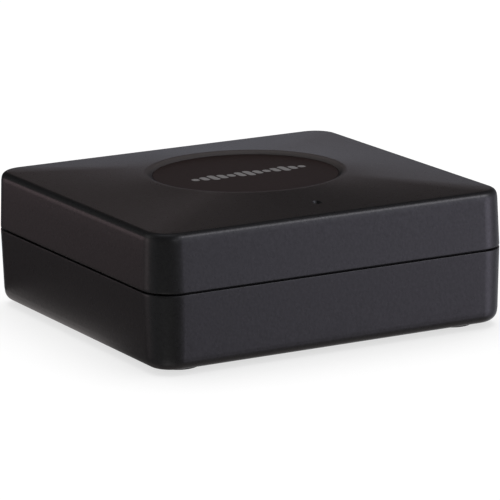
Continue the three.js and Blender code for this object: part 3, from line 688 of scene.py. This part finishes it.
# ------------------------------------------------------------------ audio socket
def audio_socket():
    top = JACK_Z + 2.6
    body = bar_y(round_rect(3.3, (top - PARTS_Z) / 2, 0.25, 5), 18.2, 30.2, JACK_X,
                 (top + PARTS_Z) / 2, name="audio_socket_moulding")
    nose = [(NOSE_R, 29.7), (NOSE_R, NOSE_Y - 0.22), (NOSE_R - 0.06, NOSE_Y - 0.08),
            (NOSE_R - 0.2, NOSE_Y)]
    join(body, lathe(nose, JACK_X, 0, JACK_Z, 80, "y"))
    bore = [(1.8, 17.2), (1.8, NOSE_Y - 2.45), (2.18, NOSE_Y - 2.45), (2.18, NOSE_Y - 0.16),
            (2.3, NOSE_Y), (3.0, NOSE_Y + 0.7)]
    cut(body,
        lathe(bore, JACK_X, 0, JACK_Z, 80, "y"),
        block(JACK_X - 2.9, JACK_X - 1.2, 19.2, 27.8, JACK_Z - 0.9, JACK_Z + 4),
        block(JACK_X + 1.2, JACK_X + 2.9, 21.2, 28.6, JACK_Z - 0.9, JACK_Z + 4))
    dress(body, "socket", "audio_socket_body")
    profile = [(r, NOSE_Y - back) for r, back in (
        (1.84, 2.42), (2.12, 2.42), (2.12, 0.22), (2.06, 0.15), (1.92, 0.15), (1.84, 0.26),
        (1.84, 2.42))]
    sleeve = lathe(profile, JACK_X, 0, JACK_Z, 80, "y", cap=False, name="audio_socket_sleeve")
    dress(sleeve, "tin", "audio_socket_sleeve_contact")


# ------------------------------------------------------------------ power socket
def mouth(half_x, half_z, chamfer, r, arc=4):
    """Flat top, chamfered lower corners, every corner rounded."""
    raw = [(-half_x, half_z), (-half_x, -half_z + chamfer), (-half_x + chamfer, -half_z),
           (half_x - chamfer, -half_z), (half_x, -half_z + chamfer), (half_x, half_z)]
    points = []
    for i in range(len(raw)):
        before, corner, after = (np.array(raw[(i + k) % len(raw)]) for k in (-1, 0, 1))
        u = (before - corner) / np.linalg.norm(before - corner)
        v = (after - corner) / np.linalg.norm(after - corner)
        half = acos(float(np.clip(u @ v, -1, 1))) / 2
        reach = r / tan(half)
        centre = corner + (u + v) / np.linalg.norm(u + v) * r / sin(half)
        start, end = corner + u * reach - centre, corner + v * reach - centre
        from_angle, to_angle = atan2(start[1], start[0]), atan2(end[1], end[0])
        turn = (to_angle - from_angle + pi) % (2 * pi) - pi
        for k in range(arc + 1):
            a = from_angle + turn * k / arc
            points.append((centre[0] + r * cos(a), centre[1] + r * sin(a)))
    return points


def usb_loop(outline, y, x=0, z=0):
    return upright(outline, y, USB_X + x, USB_Z + z)


def power_socket_can():
    inner, outer = (3.42, 1.05, 0.75, 0.16), (3.7, 1.33, 0.9, 0.32)
    # y, then the mouth's half width, half height, chamfer and corner radius
    stations = [
        (USB_Y0, *inner), (USB_Y0, *outer), (USB_Y1 - 0.55, *outer),
        (USB_Y1 - 0.38, 3.78, 1.36, 0.9, 0.34), (USB_Y1 - 0.14, 3.93, 1.41, 0.9, 0.38),
        (USB_Y1 - 0.05, 3.95, 1.42, 0.9, 0.4), (USB_Y1, 3.62, 1.16, 0.8, 0.22),
        (USB_Y1 - 0.1, 3.52, 1.1, 0.78, 0.2), (USB_Y1 - 0.45, *inner), (USB_Y0, *inner)]
    can = skin([usb_loop(mouth(*sizes), y) for y, *sizes in stations], cap=False,
               name="power_socket_can")
    for side in (-1, 1):  # a leg on each side, with a foot turned outwards
        x = USB_X + side * outer[0]
        join(can, block(x - 0.15, x + 0.15, 28.2, 29.8, PARTS_Z, USB_Z + 0.5),
             block(x, x + side, 28.2, 29.8, PARTS_Z, PARTS_Z + 0.3))
    dress(can, "tin", "power_socket_shell")


def power_socket_tongue():
    insert = bar_y(mouth(3.36, 0.99, 0.72, 0.12), USB_Y0 + 0.05, USB_Y0 + 1.3, USB_X, USB_Z,
                   name="power_socket_tongue")
    wide, tip = round_rect(2.0, 0.3, 0.08, 4), round_rect(1.9, 0.2, 0.06, 4)
    join(insert, skin([usb_loop(outline, y, z=0.5) for outline, y in (
        (wide, USB_Y0 + 1.2), (wide, USB_Y1 - 1.1), (tip, USB_Y1 - 0.9))]))
    dress(insert, "socket", "power_socket_insert")


def power_socket_contacts():
    outline, parts = round_rect(0.17, 0.035, 0.03, 2), []
    for k in range(5):
        x = (k - 2) * 0.65
        parts.append(stack([usb_loop(outline, USB_Y0 + 1.35, x, 0.20),
                            usb_loop(outline, USB_Y1 - 1.3, x, 0.20),
                            usb_loop(scaled(outline, 0.8, 0.5), USB_Y1 - 1.15, x, 0.21)]))
    dress(mesh_object("power_socket_contacts", *merge(parts)), "contact")


# ------------------------------------------------------------------ frame's own pieces that stay
# name, or its start: (finish, width of the eased edges)
STAY = {
    "badge_adhesive": ("adhesive", 0), "main_board": ("board", 0.06),
    "radio_board": ("module", 0.05), "antenna_track": ("copper", 0.02),
    "radio_shield": ("tin", 0.08), "radio_chip": ("chip", 0.08),
    "audio_converter_chip": ("chip", 0.05), "memory_chip": ("chip", 0.05),
    "voltage_regulator": ("chip", 0.06), "power_inductor": ("chip", 0.15),
    "crystal": ("can", 0.15), "status_light": ("lamp", 0.06), "switch_base": ("socket", 0.12),
    "switch_dome": ("tin", 0), "switch_cover": ("tin", 0.05), "switch_plunger": ("socket", 0.05),
    "audio_socket_tip_contact": ("contact", 0.03), "audio_socket_ring_contact": ("contact", 0.03),
}
STAY_STARTS = {
    "case_screw_": ("screw", 0.04), "board_screw_": ("screw", 0.04),
    "filter_capacitor_": ("can", 0.08), "chip_capacitor_": ("ceramic", 0.05),
}


def finish_kept_pieces():
    """Gives the kept pieces their finishes and eases their edges."""
    kept = dict(STAY)
    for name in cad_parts:
        for start, look in STAY_STARTS.items():
            if name.startswith(start):
                kept[name] = look
    for name, (finish, ease) in kept.items():
        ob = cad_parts[name]
        ob.data.materials.clear()
        ob.data.materials.append(FINISH[finish])
        shade_smooth(ob.data, 30)
        ob.modifiers.new("weld", "WELD").merge_threshold = 1e-6
        if ease:
            bevel = ob.modifiers.new("ease", "BEVEL")
            bevel.width = ease * MM
            bevel.segments = 2
            bevel.limit_method = "ANGLE"
            bevel.angle_limit = radians(40)
            bevel.use_clamp_overlap = True
            bevel.harden_normals = False


# ------------------------------------------------------------------ stage: floor and reflections
# azimuth from +X towards +Y, elevation, sharpness, colour and strength
LOBES = [
    (-42, 40, 40, (4.1, 4.0, 4.3)),
    (-53, 13, 50, (0.9, 0.9, 1.05)),
    (-44, 24, 7, (0.65, 0.65, 0.75)),
    (-42, -9, 18, (1.7, 1.6, 2.0)),
    (-32, -77, 2.5, (0.24, 0.21, 0.20)),
    (13, -16, 7, (0.33, 0.34, 0.40)),
    (171, -5, 7, (0.14, 0.14, 0.15)),
    (147, -1, 50, (0.95, 0.76, 0.78)),
    (118, -2, 150, (1.22, 0.90, 0.96)),
    (118, -46, 50, (0.3, 0.27, 0.28)),
    (61, 4, 100, (0.305, 0.345, 0.43)),
    (62, 12, 60, (0.14, 0.085, 0.06)),
    # faint fills
    (-138, -42, 18, (0.5, 0.5, 0.5)),
    (45, -28, 12, (0.6, 0.6, 0.6)),
    (140, 28, 20, (0.4, 0.4, 0.4)),
    (-118, 10, 8, (0.04, 0.04, 0.04)),
    (90, 80, 20, (0.45, 0.45, 0.48)),
    (82, -14, 60, (0.35, 0.35, 0.37)),
    (-90, 16, 40, (0.8, 0.8, 0.85)),
]
LOBE_BASE = (0.0, 0.0, 0.0)  # even light added under the lobes


def stage_floor():
    """Pale floor, lit a little from within and clear from below."""
    corners = [(-4000, -4000), (4000, -4000), (4000, 4000), (-4000, 4000)]
    floor = mesh_object("floor", level(corners, -FEET), [(0, 1, 2, 3)])
    material, nodes, output = blank_material("floor_paint")
    paint = nodes("ShaderNodeBsdfPrincipled", {
        "Base Color": (0.36, 0.36, 0.36, 1), "Roughness": 0.9, "Specular IOR Level": 0.1,
        "Emission Color": (1, 1, 1, 1), "Emission Strength": 0.68})
    material.cycles.emission_sampling = "NONE"
    sides = nodes("ShaderNodeMixShader", {
        0: nodes("ShaderNodeNewGeometry").outputs["Backfacing"], 1: paint.outputs[0],
        2: nodes("ShaderNodeBsdfTransparent").outputs[0]})
    nodes.fill(output, {0: sides.outputs[0]})
    floor.data.materials.append(material)
    floor.visible_glossy = False


def stage_for_reflections(ob, material):
    """Gives a glowing object its material and leaves it seen by reflections only."""
    material.cycles.emission_sampling = "NONE"
    ob.data.materials.append(material)
    for ray in ("camera", "diffuse", "shadow", "transmission", "volume_scatter"):
        setattr(ob, f"visible_{ray}", False)
    ob.visible_glossy = True


def stage_surround():
    """What polished and satin surfaces see: a studio surround of soft lobes."""
    mesh = bpy.data.meshes.new("surround")
    bm = bmesh.new()
    bmesh.ops.create_icosphere(bm, subdivisions=5, radius=6.0)
    bm.to_mesh(mesh)
    bm.free()
    dome = bpy.data.objects.new("surround", mesh)
    bpy.context.scene.collection.objects.link(dome)
    material, nodes, output = blank_material("surround_light")
    position = nodes("ShaderNodeNewGeometry").outputs["Position"]
    direction = nodes.vector("NORMALIZE", {0: position})
    total = None
    for azimuth, elevation, sharpness, colour in LOBES:
        a, e = radians(azimuth), radians(elevation)
        axis = (cos(a) * cos(e), sin(a) * cos(e), sin(e))
        dot = nodes.vector("DOT_PRODUCT", {0: direction, 1: axis}, "Value")
        falloff = nodes.math("EXPONENT", nodes.math("MULTIPLY_ADD", dot, sharpness, -sharpness))
        lobe = nodes.vector("SCALE", {0: colour, "Scale": falloff})
        total = lobe if total is None else nodes.vector("ADD", {0: total, 1: lobe})
    total = nodes.vector("ADD", {0: total, 1: LOBE_BASE})
    glow = nodes("ShaderNodeEmission", {"Color": total, "Strength": 1.0})
    nodes.fill(output, {0: glow.outputs[0]})
    stage_for_reflections(dome, material)


def stage_table_glow():
    """A strip of the lit table beside the case, fading away from it and towards the front."""
    corners = [(-31.2, -30), (-31.2, 36), (-46, 40), (-46, -30)]
    strip = mesh_object("table_glow", level(corners, -FEET + 0.05), [(0, 1, 2, 3)])
    material, nodes, output = blank_material("table_glow_light")
    x, y, _ = nodes.object_xyz()
    smooth = {"interpolation_type": "SMOOTHSTEP"}
    across = nodes.remap(x, (-44.5 * MM, -35.5 * MM), (0.0, 0.68), **smooth)
    along = nodes.remap(y, (-24 * MM, 4 * MM), (0.3, 1.0), **smooth)
    fall = nodes.math("MULTIPLY", across, along)
    glow = nodes("ShaderNodeEmission", {"Color": (1.0, 0.93, 0.92, 1), "Strength": fall})
    mixer = nodes("ShaderNodeMixShader", {
        0: nodes.math("MULTIPLY", fall, 2.0, clamp=True),
        1: nodes("ShaderNodeBsdfTransparent").outputs[0], 2: glow.outputs[0]})
    nodes.fill(output, {0: mixer.outputs[0]})
    stage_for_reflections(strip, material)


# ------------------------------------------------------------------ light and camera
def light_world():
    """Strength 0.55 as a light, 1 (white) where the camera sees past the table."""
    world = bpy.data.worlds.new("studio")
    bpy.context.scene.world = world
    world.use_nodes = True
    nodes = Nodes(world.node_tree)
    seen = nodes("ShaderNodeLightPath").outputs["Is Camera Ray"]
    strength = nodes.math("MULTIPLY_ADD", seen, 0.45, 0.55)
    background = world.node_tree.nodes["Background"]
    nodes.fill(background, {0: (1, 1, 1, 1), 1: strength})
    world.cycles_visibility.glossy = False


def overhead_light():
    """A square softbox above and behind, in metres and watts, aimed at the case."""
    light = bpy.data.lights.new("overhead", "AREA")
    light.shape = "SQUARE"
    light.size = 1.2
    light.energy = 11
    ob = bpy.data.objects.new("overhead", light)
    bpy.context.scene.collection.objects.link(ob)
    ob.location = (0.15, 0.2, 1.3)
    aim = Vector((0, 0, 0.01)) - Vector((0.15, 0.2, 1.3))
    ob.rotation_euler = aim.to_track_quat("-Z", "Y").to_euler()
    ob.visible_glossy = False


AZIMUTH, ELEVATION, ROLL = map(radians, (-28.374, 13.274, -0.913))
SHIFT_X, SHIFT_Y, DISTANCE = 0.599, -1.048, 713.483  # from mid-case, along the camera's axes
FOCAL, SENSOR = 285.365736, 36


def add_camera():
    back = Vector((sin(AZIMUTH) * cos(ELEVATION), -cos(AZIMUTH) * cos(ELEVATION),
                   sin(ELEVATION)))
    right = Vector((cos(AZIMUTH), sin(AZIMUTH), 0))
    up = back.cross(right)
    axis_x = right * cos(ROLL) + up * sin(ROLL)
    axis_y = up * cos(ROLL) - right * sin(ROLL)
    data = bpy.data.cameras.new("camera")
    camera = bpy.data.objects.new("camera", data)
    scene = bpy.context.scene
    scene.collection.objects.link(camera)
    middle = Vector((0, 0, 12.0 + FEET))
    place = (middle + axis_x * SHIFT_X + axis_y * SHIFT_Y + back * DISTANCE) * MM
    turned = Matrix((axis_x, axis_y, back)).transposed().to_4x4()
    camera.matrix_world = Matrix.Translation(place) @ turned
    data.sensor_width = SENSOR
    data.sensor_fit = "HORIZONTAL"
    data.lens = FOCAL
    data.clip_start = 0.01
    data.clip_end = 50
    scene.camera = camera
    scene.view_settings.view_transform = "Standard"
    scene.view_settings.look = "None"


upper_shell()
lower_shell()
badge_disc()
level_bars()
light_pipe()
feet()
rating_plate()
pair_button()
audio_socket()
power_socket_can()
power_socket_tongue()
power_socket_contacts()
finish_kept_pieces()
stage_floor()
stage_surround()
stage_table_glow()
light_world()
overhead_light()
add_camera()
